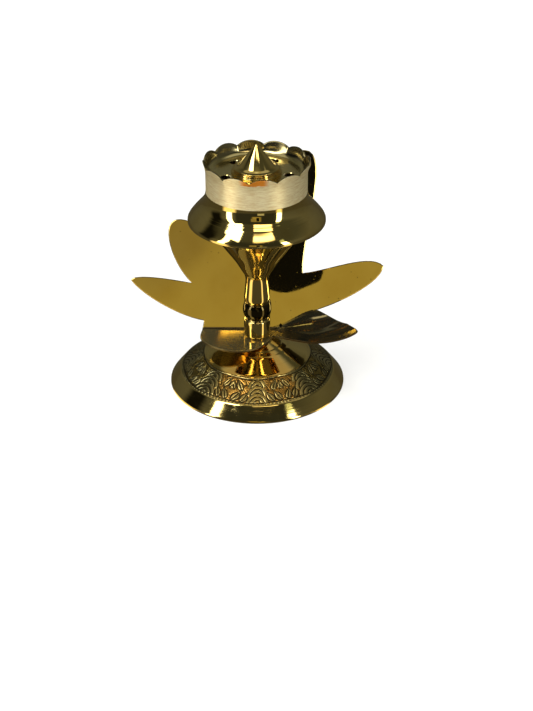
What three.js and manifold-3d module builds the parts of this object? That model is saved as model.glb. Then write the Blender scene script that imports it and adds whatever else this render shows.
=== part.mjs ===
// A brass incense-stick stand: a hollow cast foot, a bent leaf-shaped backplate, a turned stem with a
// dished head, and a bell-skirted cup with a pierced floor, all drawn together on one upright axis.
//
// Millimetres, +Z up. The origin is the centre of the ring that the foot stands on. The stem's axis is
// the Z axis, -Y is the front and the leaf rises behind the stem, towards +Y.

import * as THREE from "three";
import { mergeVertices } from "three/addons/utils/BufferGeometryUtils.js";
import Module from "manifold-3d";

const wasm = await Module();
wasm.setup();

// ---------- driving dimensions ----------

const FOOT_RADIUS = 30;
const RIDGE_RADIUS = 26.3; // outer edge of the chased band on the foot
const RIDGE_HEIGHT = 5;
const BAND_TOP_RADIUS = 18.2; // inner edge of the chased band
const BAND_TOP_HEIGHT = 10.6;
const FOOT_TOP = 16.2; // the leaf lies on this face
const FOOT_TOP_RADIUS = 5.2;
const WALL = 1.6; // wall of the hollow foot

const LEAF_THICKNESS = 0.8;
const LEAF_HALF_WIDTH = 43.4;
const LEAF_LEAN = THREE.MathUtils.degToRad(24); // how far the leaf leans back from upright
const FOLD_BACK = 4.2; // from the stem's axis to the fold
const TIGHT_FOLD = 0.78; // reach of the fold on either side of its line, beside the stem
const SCOOP_FOLD = 5.9; // how much wider the fold opens into the right-hand lobe

const HEAD_RADIUS = 17; // rim of the stem's dished head, which stands just inside the skirt
const HEAD_HEIGHT = 60.2;
const STEM_TOP = 75.6; // the cup's floor stands on this face

const LIP_RADIUS = 22.7; // lower lip of the cup's bell skirt
const LIP_HEIGHT = 60.4;
const CUP_RADIUS = 16.55;
const SKIRT_TOP = 71.3; // the upright wall begins here
const FLOOR_HEIGHT = 77.1;
const FLOOR_THICKNESS = FLOOR_HEIGHT - STEM_TOP;
const RIM_HEIGHT = 81.4;
const RIM_FLARE = 0.9; // how far the rim leans out
const SCALLOPS = 12;
const SCALLOP_DEPTH = 1.6;
const SCALLOP_TURN = THREE.MathUtils.degToRad(-7.8); // one valley stands this far round from the front
const STICK_HOLES = 5;
const STICK_HOLE_RADIUS = 1.65;
const STICK_CIRCLE = 10.8;
const STICK_TURN = THREE.MathUtils.degToRad(-13); // first hole, from +X towards +Y

const COLLAR_RADIUS = 8.2;
const COLLAR_HEIGHT = 1.4;
const CONE_RADIUS = 7.5;
const CONE_HEIGHT = 8.3;

const SCREW_RADIUS = 2; // stud and spigot
const BORE_RADIUS = 2.3; // every hole that a screw passes
const WASHER_RADIUS = 4.6;
const WASHER_THICKNESS = 0.8;
const NUT_CORNER = 4.1;
const NUT_HEIGHT = 3;
const BOSS_FACE = 10; // underside of the foot's boss, where the washer bears
const BOSS_RADIUS = 5.6;

const TURNED_SIDES = 60; // a multiple of the scallops
const SLIM_SIDES = 32;
const SCREW_SIDES = 20;

// ---------- materials ----------

const brass = (color, roughness) =>
  new THREE.MeshStandardMaterial({ color, roughness, metalness: 1 });

const castBrass = brass(0xb8923f, 0.16);
const sheetBrass = brass(0xa8863a, 0.12);
const turnedBrass = brass(0xb98f3c, 0.12);
const satinBrass = brass(0xcdb98a, 0.38);
const fasteners = brass(0x9a8148, 0.4);

// ---------- building blocks ----------

// A body of revolution from a closed profile of [radius, height] pairs, outline anticlockwise as seen
// with the radius to the right.
function turned(profile, sides = TURNED_SIDES) {
  const outline = profile.map(([r, z]) => new THREE.Vector2(r, z));
  if (profile.every(([r]) => r > 0)) outline.push(outline[0].clone());
  return new THREE.LatheGeometry(outline, sides).rotateX(Math.PI / 2);
}

// Points of a smooth curve through [radius, height] pairs.
function through(points, divisions) {
  const curve = new THREE.SplineCurve(points.map(([r, z]) => new THREE.Vector2(r, z)));
  return curve.getPoints(divisions).map((p) => [p.x, p.y]);
}

function solid(geometry) {
  const bare = geometry.clone();
  bare.deleteAttribute("normal");
  bare.deleteAttribute("uv");
  const merged = mergeVertices(bare, 1e-4);
  const mesh = new wasm.Mesh({
    numProp: 3,
    vertProperties: new Float32Array(merged.attributes.position.array),
    triVerts: new Uint32Array(merged.index.array),
  });
  return new wasm.Manifold(mesh);
}

function geometryOf(manifold) {
  const { vertProperties, triVerts } = manifold.getMesh();
  const geometry = new THREE.BufferGeometry();
  geometry.setAttribute("position", new THREE.BufferAttribute(vertProperties, 3));
  geometry.setIndex(new THREE.BufferAttribute(triVerts, 1));
  geometry.computeVertexNormals();
  return geometry;
}

function post(radius, bottom, top, sides = SCREW_SIDES) {
  const height = top - bottom;
  return new THREE.CylinderGeometry(radius, radius, height, sides)
    .rotateX(Math.PI / 2)
    .translate(0, 0, bottom + height / 2);
}

// ---------- foot ----------

// A low cone with a chased band and a flared edge outside, hollow below, with a boss for the washer.
function footGeometry() {
  const edge = 0.8;
  return turned([
    [BORE_RADIUS, FOOT_TOP],
    [BORE_RADIUS, BOSS_FACE],
    [BOSS_RADIUS, BOSS_FACE],
    [BOSS_RADIUS, FOOT_TOP - WALL - 1],
    [BAND_TOP_RADIUS - 0.6, BAND_TOP_HEIGHT - WALL],
    [RIDGE_RADIUS - 1.2, RIDGE_HEIGHT - WALL],
    [FOOT_RADIUS - WALL - 0.4, edge],
    [FOOT_RADIUS - WALL, 0],
    [FOOT_RADIUS, 0],
    [FOOT_RADIUS, edge],
    ...through(
      [
        [FOOT_RADIUS - 0.15, edge + 0.3],
        [FOOT_RADIUS - 1.7, RIDGE_HEIGHT * 0.5],
        [RIDGE_RADIUS, RIDGE_HEIGHT],
      ],
      4,
    ),
    [BAND_TOP_RADIUS, BAND_TOP_HEIGHT],
    [FOOT_TOP_RADIUS + 5, FOOT_TOP - 2.4],
    [FOOT_TOP_RADIUS + 3, FOOT_TOP - 1.4],
    [FOOT_TOP_RADIUS, FOOT_TOP],
  ]);
}

// ---------- leaf ----------

// The leaf's outline before it is bent: x to the right, v up the sheet from the fold line. Each curve
// runs from the point before it to its last point, with the two control points of a cubic curve.
const LEAF_START = [-18.5, 2.9];
const LEAF_CURVES = [
  [[-28, 4.5], [-40.5, 12.5], [-LEAF_HALF_WIDTH, 16.8]], // lower left lobe, out to its tip
  [[-LEAF_HALF_WIDTH, 19.2], [-31, 17.6], [-22.6, 15.9]],
  [[-29.5, 22.5], [-33.6, 36.6], [-27.5, 37.7]], // upper left lobe
  [[-21, 38.8], [-11, 28], [-1.5, 18.5]],
  [[4, 32], [5.5, 60.6], [16, 61.3]], // tall middle lobe
  [[26, 61.3], [15.5, 33], [15.7, 19.3]],
  [[24, 20], [39, 26.5], [LEAF_HALF_WIDTH, 21.8]], // upper right lobe
  [[LEAF_HALF_WIDTH, 16.5], [30, 9.5], [20.7, 6.6]],
  [[26, 4.5], [33, -2.5], [33.8, -8]], // lower right lobe, which the fold opens into a scoop
  [[34, -12], [14, -7], [5.2, -4.8]],
  [[4.5, -9], [0, -15], [-6, -15.2]], // the tab that the stem stands on
  [[-13, -15.2], [-19.5, -9.5], [-19.5, -4.5]],
  [[-19.5, -1], [-18.5, 1], LEAF_START],
];
const LEAF_CURVE_STEPS = 5;
const SCOOP_RISE = 5;
const SCOOP_START = 16;
const SCOOP_REACH = 18;
const FOLD_ANGLE = Math.PI / 2 - LEAF_LEAN;

// On the flat sheet: where the tight fold ends, and where the stem's axis crosses.
const FOLD_END = TIGHT_FOLD - (TIGHT_FOLD / Math.tan(FOLD_ANGLE / 2)) * FOLD_ANGLE;
const STEM_ON_SHEET = FOLD_END + TIGHT_FOLD - FOLD_BACK;

function leafShape() {
  const shape = new THREE.Shape().moveTo(...LEAF_START);
  for (const [first, second, end] of LEAF_CURVES) shape.bezierCurveTo(...first, ...second, ...end);
  shape.holes.push(new THREE.Path().absarc(0, STEM_ON_SHEET, BORE_RADIUS, 0, 2 * Math.PI));
  return shape;
}

// The upper face of the bent sheet at (x, v): upright above the fold, level in front of it, and an arc
// between. The arc widens to the right, and the far right of the level part rises, which makes a scoop.
function onLeaf(x, v) {
  const reach = TIGHT_FOLD + SCOOP_FOLD * THREE.MathUtils.smoothstep(x, 5, 20);
  const radius = reach / Math.tan(FOLD_ANGLE / 2);
  const up = new THREE.Vector2(Math.sin(LEAF_LEAN), Math.cos(LEAF_LEAN));
  const across = new THREE.Vector2(-up.y, up.x);
  const tab = FOOT_TOP + LEAF_THICKNESS;
  const fold = new THREE.Vector2(FOLD_BACK, tab);
  const point = fold.clone().addScaledVector(up, Math.max(v, reach));
  if (v < reach) {
    const turn = Math.min((reach - v) / radius, FOLD_ANGLE);
    point
      .addScaledVector(across, radius * (1 - Math.cos(turn)))
      .addScaledVector(up, -radius * Math.sin(turn));
    point.x -= Math.max(0, reach - v - radius * FOLD_ANGLE);
    const rise = SCOOP_RISE * Math.max(0, (x - SCOOP_START) / SCOOP_REACH) ** 2;
    point.y += rise * Math.min(1, (reach - v) / 8);
  }
  return new THREE.Vector3(x, point.x, point.y);
}

function leafNormal(x, v) {
  const step = 0.01;
  const alongX = onLeaf(x + step, v).sub(onLeaf(x - step, v));
  const alongV = onLeaf(x, v + step).sub(onLeaf(x, v - step));
  return alongX.cross(alongV).normalize();
}

// Splits every triangle that crosses the line where the given coordinate equals level, so that the
// sheet can bend there.
function splitAt(triangles, axis, level) {
  const result = [];
  for (const triangle of triangles) {
    const side = triangle.map((p) => Math.sign(Math.round((p[axis] - level) * 1e6)));
    if (!side.includes(1) || !side.includes(-1)) {
      result.push(triangle);
      continue;
    }
    const alone = (i) => side[i] !== side[(i + 1) % 3] && side[i] !== side[(i + 2) % 3];
    const lone = [0, 1, 2].find((i) => side[i] && alone(i));
    const [a, b, c] = [0, 1, 2].map((k) => triangle[(lone + k) % 3]);
    const cut = (p, q) => {
      const [low, high] = p[axis] < q[axis] ? [p, q] : [q, p];
      return low.clone().lerp(high, (level - low[axis]) / (high[axis] - low[axis]));
    };
    const ab = side[(lone + 1) % 3] ? cut(a, b) : b;
    const ac = side[(lone + 2) % 3] ? cut(a, c) : c;
    result.push([a, ab, ac]);
    if (ab !== b) result.push([ab, b, ac]);
    if (ac !== c) result.push([ac, b, c]);
  }
  return result;
}

function trianglesOf(geometry) {
  const flat = geometry.index ? geometry.toNonIndexed() : geometry;
  const corners = flat.getAttribute("position");
  const triangles = [];
  for (let i = 0; i < corners.count; i += 3)
    triangles.push([0, 1, 2].map((k) => new THREE.Vector3().fromBufferAttribute(corners, i + k)));
  return triangles;
}

const evenly = (from, to, count) =>
  Array.from({ length: count }, (_, i) => from + ((to - from) * i) / (count - 1));

function leafGeometry() {
  const slab = new THREE.ExtrudeGeometry(leafShape(), {
    depth: LEAF_THICKNESS,
    bevelEnabled: false,
    curveSegments: LEAF_CURVE_STEPS,
  });
  let triangles = trianglesOf(slab);
  const tightFold = evenly(FOLD_END, TIGHT_FOLD, 3);
  for (const v of [...tightFold, 3.5, 6.6, -2.5, -5.5]) triangles = splitAt(triangles, "y", v);
  for (const x of [...evenly(6, 22, 5), 27]) triangles = splitAt(triangles, "x", x);

  // The slab's far face becomes the upper face, and its near face lies one thickness under it.
  const bent = triangles.flat().map((p) => {
    const depth = LEAF_THICKNESS - p.z;
    return onLeaf(p.x, p.y).addScaledVector(leafNormal(p.x, p.y), -depth);
  });
  const geometry = new THREE.BufferGeometry().setFromPoints(bent);
  geometry.computeVertexNormals();
  return geometry;
}

// ---------- stem ----------

// Cylinder, bead, waist and flared head in one turned piece, with a column inside the head that
// carries the cup, and a blind bore at each end.
function stemGeometry() {
  const foot = FOOT_TOP + LEAF_THICKNESS;
  const socket = 8;
  const lipHalf = 0.35;
  const column = 4.2;
  return turned(
    [
      [0, foot + socket],
      [BORE_RADIUS, foot + socket],
      [BORE_RADIUS, foot],
      [3.4, foot],
      [4.5, foot + 0.9],
      [4.45, foot + 6.6],
      [3.9, foot + 7.3],
      ...through(
        [
          [4.1, foot + 7.8],
          [4.85, foot + 10.3],
          [4.1, foot + 12.8],
        ],
        6,
      ),
      [3.85, foot + 13.2],
      ...through(
        [
          [4.4, foot + 14.6],
          [4.0, foot + 18],
          [3.85, foot + 22],
          [5.2, foot + 25],
          [7.4, foot + 29],
          [10.5, foot + 33.4],
          [13.7, foot + 38],
          [HEAD_RADIUS, HEAD_HEIGHT - lipHalf],
        ],
        16,
      ),
      [HEAD_RADIUS + 0.2, HEAD_HEIGHT],
      [HEAD_RADIUS - 0.4, HEAD_HEIGHT + lipHalf],
      [13.2, HEAD_HEIGHT - 4.2],
      [9.6, HEAD_HEIGHT - 8.8],
      [6.4, HEAD_HEIGHT - 11],
      [column, HEAD_HEIGHT - 9.8],
      [column, STEM_TOP],
      [BORE_RADIUS, STEM_TOP],
      [BORE_RADIUS, STEM_TOP - socket],
      [0, STEM_TOP - socket],
    ],
    SLIM_SIDES,
  );
}

// ---------- cup ----------

// Height of the scalloped rim at an angle from +X towards +Y: rounded crests, sharp valleys.
function scallop(angle) {
  const fromValley = angle + Math.PI / 2 - SCALLOP_TURN;
  return SCALLOP_DEPTH * (Math.abs(Math.sin((fromValley * SCALLOPS) / 2)) ** 0.7 - 1);
}

function cupGeometry() {
  const wall = 0.6;
  const cove = 2;
  const flareHeight = 2.8; // the rim leans out over this much of the wall
  const inner = CUP_RADIUS - wall;
  const underside = STEM_TOP;
  const shell = turned([
    [BORE_RADIUS, FLOOR_HEIGHT],
    [BORE_RADIUS, underside],
    [CUP_RADIUS - 3.2, underside],
    [CUP_RADIUS - 1.8, SKIRT_TOP + 1],
    [CUP_RADIUS - 0.4, SKIRT_TOP - 3.6],
    [LIP_RADIUS - 2.6, LIP_HEIGHT + 3],
    [LIP_RADIUS - 1, LIP_HEIGHT],
    [LIP_RADIUS, LIP_HEIGHT],
    ...through(
      [
        [LIP_RADIUS, LIP_HEIGHT + 0.7],
        [LIP_RADIUS - 0.5, LIP_HEIGHT + 1.6],
        [LIP_RADIUS - 1.8, LIP_HEIGHT + 3.2],
        [LIP_RADIUS - 3.5, LIP_HEIGHT + 5.1],
        [CUP_RADIUS + 1.3, SKIRT_TOP - 4.2],
        [CUP_RADIUS + 0.5, SKIRT_TOP - 2.6],
        [CUP_RADIUS + 0.1, SKIRT_TOP - 1.1],
        [CUP_RADIUS, SKIRT_TOP],
      ],
      14,
    ),
    [CUP_RADIUS, RIM_HEIGHT - flareHeight],
    [CUP_RADIUS + RIM_FLARE, RIM_HEIGHT],
    [inner + RIM_FLARE, RIM_HEIGHT],
    [inner, RIM_HEIGHT - flareHeight],
    [inner, FLOOR_HEIGHT + cove],
    [inner - cove * 0.3, FLOOR_HEIGHT + cove * 0.3],
    [inner - cove, FLOOR_HEIGHT],
  ]);
  const place = shell.getAttribute("position");
  for (let i = 0; i < place.count; i++) {
    if (place.getZ(i) < RIM_HEIGHT - 0.001) continue;
    place.setZ(i, RIM_HEIGHT + scallop(Math.atan2(place.getY(i), place.getX(i))));
  }
  let cup = solid(shell);
  for (let i = 0; i < STICK_HOLES; i++) {
    const angle = STICK_TURN + (i * 2 * Math.PI) / STICK_HOLES;
    const hole = post(STICK_HOLE_RADIUS, underside - 1, FLOOR_HEIGHT + 1, 16);
    hole.translate(STICK_CIRCLE * Math.cos(angle), STICK_CIRCLE * Math.sin(angle), 0);
    cup = cup.subtract(solid(hole));
  }
  return geometryOf(cup);
}

// ---------- finial ----------

function collarGeometry() {
  return turned(
    [
      [BORE_RADIUS, COLLAR_HEIGHT],
      [BORE_RADIUS, 0],
      [COLLAR_RADIUS - 0.2, 0],
      [COLLAR_RADIUS, 0.35],
      [COLLAR_RADIUS - 0.2, 0.7],
      [COLLAR_RADIUS - 0.6, 0.85],
      [COLLAR_RADIUS - 0.4, COLLAR_HEIGHT],
    ],
    SLIM_SIDES,
  );
}

// A cone with a rounded shoulder and a blunt tip, and a spigot below that screws into the stem.
function finialGeometry() {
  const spigot = COLLAR_HEIGHT + FLOOR_THICKNESS + 5.6;
  const tip = 0.45;
  return turned(
    [
      [0, -spigot],
      [SCREW_RADIUS - 0.4, -spigot],
      [SCREW_RADIUS, 0.4 - spigot],
      [SCREW_RADIUS, 0],
      [CONE_RADIUS - 0.3, 0],
      [CONE_RADIUS, 0.35],
      [CONE_RADIUS - 0.7, 0.6],
      [CONE_RADIUS - 1.5, 1.15],
      [tip + 0.35, CONE_HEIGHT - 0.7],
      [tip, CONE_HEIGHT - 0.15],
      [0, CONE_HEIGHT],
    ],
    SLIM_SIDES,
  );
}

// ---------- fastening under the foot ----------

const STUD_BOTTOM = BOSS_FACE - WASHER_THICKNESS - NUT_HEIGHT - 1.7;

function studGeometry() {
  const top = FOOT_TOP + LEAF_THICKNESS + 7.4;
  return turned(
    [
      [0, STUD_BOTTOM],
      [SCREW_RADIUS - 0.4, STUD_BOTTOM],
      [SCREW_RADIUS, STUD_BOTTOM + 0.4],
      [SCREW_RADIUS, top],
      [0, top],
    ],
    SCREW_SIDES,
  );
}

function ringGeometry(outer, sides, height) {
  const ring = solid(post(outer, 0, height, sides)).subtract(solid(post(BORE_RADIUS, -1, height + 1)));
  return geometryOf(ring);
}

// ---------- assembly ----------

function piece(name, geometry, material, height = 0) {
  const mesh = new THREE.Mesh(geometry, material);
  mesh.name = name;
  mesh.position.z = height;
  return mesh;
}

const stand = new THREE.Group();
stand.name = "incense_stand";

const finial = new THREE.Group();
finial.position.z = FLOOR_HEIGHT;
finial.add(
  piece("finial_collar", collarGeometry(), turnedBrass),
  piece("cone_finial", finialGeometry(), turnedBrass, COLLAR_HEIGHT),
);

const fastening = new THREE.Group();
fastening.position.z = BOSS_FACE - WASHER_THICKNESS;
fastening.add(
  piece("foot_washer", ringGeometry(WASHER_RADIUS, SLIM_SIDES, WASHER_THICKNESS), fasteners),
  piece("foot_nut", ringGeometry(NUT_CORNER, 6, NUT_HEIGHT), fasteners, -NUT_HEIGHT),
);

stand.add(
  piece("foot", footGeometry(), castBrass),
  piece("leaf_plate", leafGeometry(), sheetBrass),
  piece("stem", stemGeometry(), turnedBrass),
  piece("foot_stud", studGeometry(), fasteners),
  piece("cup", cupGeometry(), satinBrass),
  finial,
  fastening,
);

export default stand;
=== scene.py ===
"""Looks for a brass incense-stick stand: smooth turned pieces, a chased band on the foot, a bent leaf of
sheet brass, procedural brass finishes, a pale floor and soft studio light.

Lengths are millimetres until a mesh is made. The frame is the CAD model's: +Z up along the stem, -Y
towards the viewer, and every size that the CAD model fixes is read from its boxes."""

import math

import bmesh
import bpy
import numpy as np
from mathutils import Matrix, Vector


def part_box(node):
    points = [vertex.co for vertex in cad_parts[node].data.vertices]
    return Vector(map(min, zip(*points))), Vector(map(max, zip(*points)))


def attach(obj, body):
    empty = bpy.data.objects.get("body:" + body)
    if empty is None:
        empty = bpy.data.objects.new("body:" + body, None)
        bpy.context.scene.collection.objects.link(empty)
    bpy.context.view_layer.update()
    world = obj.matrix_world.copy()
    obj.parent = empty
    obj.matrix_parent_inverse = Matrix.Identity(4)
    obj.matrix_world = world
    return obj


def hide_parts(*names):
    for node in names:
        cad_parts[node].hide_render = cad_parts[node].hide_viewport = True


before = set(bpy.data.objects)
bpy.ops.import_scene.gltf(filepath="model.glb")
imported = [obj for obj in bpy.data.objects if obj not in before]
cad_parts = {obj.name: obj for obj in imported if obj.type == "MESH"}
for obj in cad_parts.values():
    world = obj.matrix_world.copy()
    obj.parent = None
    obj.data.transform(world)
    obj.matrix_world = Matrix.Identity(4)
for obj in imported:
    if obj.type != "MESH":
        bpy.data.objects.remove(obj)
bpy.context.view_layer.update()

MM = 0.001


# ---------- sizes from the frame ----------


def turned_extent(node):
    """Outer radius, foot height and top height of a turned CAD node."""
    low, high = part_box(node)
    return high.x / MM, low.z / MM, high.z / MM


FOOT_RADIUS, _, FOOT_TOP = turned_extent("foot")
HEAD_RADIUS, STEM_FOOT, STEM_TOP = turned_extent("stem")
LIP_RADIUS, LIP_HEIGHT, RIM_HEIGHT = turned_extent("cup")
COLLAR_RADIUS, FLOOR_HEIGHT, COLLAR_TOP = turned_extent("finial_collar")
CONE_RADIUS, SPIGOT_END, APEX = turned_extent("cone_finial")
SCREW_RADIUS, STUD_END, STUD_TOP = turned_extent("foot_stud")
WASHER_RADIUS, WASHER_FOOT, WASHER_TOP = turned_extent("foot_washer")
NUT_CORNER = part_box("foot_nut")[1].y / MM
NUT_TOP = WASHER_FOOT
NUT_FOOT = NUT_TOP - 3
BORE_RADIUS = SCREW_RADIUS + 0.3
THREAD_PITCH = 0.7
THREAD_DEPTH = 0.3


# ---------- outlines and meshes ----------


def curve(points, count):
    """count + 1 points of a smooth curve through the given (radius, height) points."""
    points = np.array(points, float)
    ends = np.vstack([2 * points[0] - points[1], points, 2 * points[-1] - points[-2]])
    result = []
    for t in np.linspace(0, len(points) - 1, count + 1):
        i = min(int(t), len(points) - 2)
        f = t - i
        a, b, c, d = ends[i : i + 4]
        bend = 2 * b + (c - a) * f + (2 * a - 5 * b + 4 * c - d) * f**2 + (3 * b - a - 3 * c + d) * f**3
        result.append(tuple(bend / 2))
    return result


def rounded(corners, steps=4):
    """A closed outline in which each (radius, height, rounding) corner becomes a small arc."""
    result = []
    for i, corner in enumerate(corners):
        if len(corner) == 2:
            result.append(corner)
            continue
        here = np.array(corner[:2], float)
        before = np.array(corners[i - 1][:2], float) - here
        after = np.array(corners[(i + 1) % len(corners)][:2], float) - here
        start = here + before / np.hypot(*before) * corner[2]
        end = here + after / np.hypot(*after) * corner[2]
        for t in np.linspace(0, 1, steps + 1):
            result.append(tuple((1 - t) ** 2 * start + 2 * t * (1 - t) * here + t**2 * end))
    return result


def finish_mesh(name, work, sharp_angle=40):
    """An object from a closed bmesh, with its normals out, smooth but for its sharp edges."""
    bmesh.ops.remove_doubles(work, verts=work.verts, dist=1e-4 * MM)
    bmesh.ops.recalc_face_normals(work, faces=work.faces)
    mesh = bpy.data.meshes.new(name)
    work.to_mesh(mesh)
    work.free()
    mesh.polygons.foreach_set("use_smooth", [True] * len(mesh.polygons))
    mesh.set_sharp_from_angle(angle=math.radians(sharp_angle))
    piece = bpy.data.objects.new(name, mesh)
    bpy.context.scene.collection.objects.link(piece)
    return piece


def revolve(name, outline, sides=240, relief=None, closed=True):
    """A body of revolution. relief(radius, height, angle) gives back the moved radius and height."""
    points = np.array([corner[:2] for corner in outline], float)
    angles = np.arange(sides) * 2 * math.pi / sides
    radius = np.repeat(points[:, :1], sides, axis=1)
    height = np.repeat(points[:, 1:], sides, axis=1)
    if relief:
        radius, height = relief(radius, height, angles[None, :])
    places = np.stack([radius * np.cos(angles), radius * np.sin(angles), height], axis=-1)
    work = bmesh.new()
    rings = [[work.verts.new(place * MM) for place in ring] for ring in places]
    pairs = list(zip(rings, rings[1:]))
    if closed:
        pairs.append((rings[-1], rings[0]))
    for low, high in pairs:
        for j in range(sides):
            work.faces.new((low[j - 1], low[j], high[j], high[j - 1]))
    return finish_mesh(name, work)


def threaded(start, end):
    """The outline of a screw between two heights, with points enough to cut a thread in."""
    return [(SCREW_RADIUS, z) for z in np.arange(start, end, THREAD_PITCH / 8)]


def thread(start, end):
    """Relief that cuts a right-hand thread into a screw between two heights."""

    def relief(radius, height, angle):
        phase = (height / THREAD_PITCH - angle / (2 * math.pi)) % 1
        cut = THREAD_DEPTH * np.abs(2 * phase - 1)
        fade = np.clip(np.minimum(height - start, end - height) / THREAD_PITCH, 0, 1)
        return radius - cut * fade * (np.abs(radius - SCREW_RADIUS) < 0.3), height

    return relief


# ---------- materials ----------


class Tree:
    """A node tree, with short calls to add nodes and feed their inputs."""

    def __init__(self, owner):
        owner.use_nodes = True
        self.tree = owner.node_tree

    def node(self, kind, inputs=(), **settings):
        node = self.tree.nodes.new(kind)
        for key, value in settings.items():
            setattr(node, key, value)
        for key, value in dict(inputs).items():
            self.feed(node.inputs[key], value)
        return node

    def feed(self, socket, value):
        if isinstance(value, bpy.types.NodeSocket):
            self.tree.links.new(value, socket)
        else:
            socket.default_value = value

    def maths(self, operation, *values):
        return self.node("ShaderNodeMath", dict(enumerate(values)), operation=operation).outputs[0]

    def times(self, *values):
        """The product of two or more values."""
        product, *others = values
        for value in others:
            product = self.maths("MULTIPLY", product, value)
        return product

    def ramp(self, value, low, high, out_low=0.0, out_high=1.0):
        """A smooth step from out_low to out_high as value goes from low to high."""
        inputs = {"Value": value, "From Min": low, "From Max": high, "To Min": out_low, "To Max": out_high}
        return self.node("ShaderNodeMapRange", inputs, interpolation_type="SMOOTHSTEP").outputs[0]

    def window(self, angle, start, end, soft):
        """1 where an angle in radians lies between two angles in degrees, with soft ends."""
        start, end, soft = (math.radians(degrees) for degrees in (start, end, soft))
        return self.between(angle, start, end, soft)

    def between(self, value, low, high, soft):
        """1 where value lies between low and high, with soft ends."""
        rise = self.ramp(value, low - soft, low + soft)
        return self.times(rise, self.ramp(value, high - soft, high + soft, 1.0, 0.0))

    def azimuth(self, x, y):
        """Angle round the stem's axis in radians: 0 at the front, positive to the viewer's right."""
        return self.maths("ARCTAN2", x, self.maths("MULTIPLY", y, -1.0))

    def split(self, vector):
        """The x, y and z of a vector."""
        return self.node("ShaderNodeSeparateXYZ", {"Vector": vector}).outputs

    def level(self, vector):
        """A vector without its height."""
        inputs = {0: vector, 1: (1, 1, 0)}
        return self.node("ShaderNodeVectorMath", inputs, operation="MULTIPLY").outputs[0]

    def dot(self, first, second):
        inputs = {0: first, 1: second}
        return self.node("ShaderNodeVectorMath", inputs, operation="DOT_PRODUCT").outputs["Value"]

    def mix(self, amount, first, second):
        node = self.node("ShaderNodeMix", data_type="RGBA")
        self.feed(node.inputs["Factor"], amount)
        self.feed(node.inputs["A"], first)
        self.feed(node.inputs["B"], second)
        return node.outputs["Result"]


class Finish(Tree):
    """A material, with the patterns and bumps that the finishes share."""

    def __init__(self, name, metallic=1.0):
        self.material = bpy.data.materials.new(name)
        super().__init__(self.material)
        self.shader = self.tree.nodes["Principled BSDF"]
        coordinates = self.node("ShaderNodeTexCoord")
        self.place = coordinates.outputs["Object"]
        self.facing = coordinates.outputs["Normal"]
        self.shade(Metallic=metallic)

    def shade(self, **inputs):
        """Feeds the shader, with an underscore for each space in an input's name."""
        for name, value in inputs.items():
            self.feed(self.shader.inputs[name.replace("_", " ")], value)

    def attribute(self, name):
        """A value that is stored on the mesh's points."""
        return self.node("ShaderNodeAttribute", attribute_name=name).outputs["Fac"]

    def noise(self, size, vector=None, detail=3.0, roughness=0.5):
        """Noise whose features are about size millimetres across."""
        inputs = {"Scale": 1 / (size * MM), "Detail": detail, "Roughness": roughness}
        inputs["Vector"] = vector or self.place
        return self.node("ShaderNodeTexNoise", inputs).outputs["Fac"]

    def rings(self):
        """A vector that is the same all the way round the axis, for lines left by the lathe.

        It also keeps each point's height, radius and angle round the axis."""
        x, y, self.height = self.split(self.place)
        squares = self.maths("ADD", self.times(x, x), self.times(y, y))
        self.radius = self.maths("SQRT", squares)
        self.angle = self.azimuth(x, y)
        return self.node("ShaderNodeCombineXYZ", {"X": self.radius, "Y": self.height}).outputs[0]

    def bump(self, height, depth, below=None):
        """Bump of the given depth in millimetres, on top of another bump."""
        inputs = {"Height": height, "Distance": depth * MM, "Strength": 1.0}
        if below:
            inputs["Normal"] = below
        return self.node("ShaderNodeBump", inputs).outputs[0]


BRASS = (0.87, 0.67, 0.26, 1)
DEEP_BRASS = (0.80, 0.59, 0.20, 1)
PALE_BRASS = (0.92, 0.82, 0.54, 1)
DULL_BRASS = (0.88, 0.75, 0.38, 1)
SMOKED_AND_SHADED_BRASS = (0.34, 0.30, 0.18, 1)
ORANGE_BRASS = (0.80, 0.28, 0.03, 1)
AGED_BRASS = (0.44, 0.37, 0.17, 1)
# this amber and the next two are a painted reflection on the front of the foot
REFLECTED_AMBER = (0.84, 0.53, 0.14, 1)
REFLECTED_AMBER_RAISED = (0.64, 0.47, 0.17, 1)
REFLECTED_AMBER_GROUND = (0.50, 0.27, 0.06, 1)
PAINTED_DARK_REFLECTION = (0.11, 0.10, 0.06, 1)
DARK_BRASS = (0.36, 0.26, 0.07, 1)
TAN_BRASS = (0.74, 0.58, 0.31, 1)
MACHINED_BRASS = (0.62, 0.45, 0.17, 1)
CUT_EDGE_SHADE = (0.10, 0.06, 0.02, 1)
# dark colour: patina in the chased cuts, and painted shade in the holes, the crease and on the bead
PATINA_AND_SHADE = (0.035, 0.026, 0.012, 1)
SHADOW = (0.01, 0.008, 0.004, 1)
AMBER_REFLECTION_ANGLES = (-40, 42)  # the tab's amber reflection is painted on the front of the foot, between these angles
ORANGE_PATCH_ANGLES = (-16, 11)  # an orange patch is painted on the cup's rim between these
PUNCH_SIZE = 0.42  # of the marks that matt the chased band's ground


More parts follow.
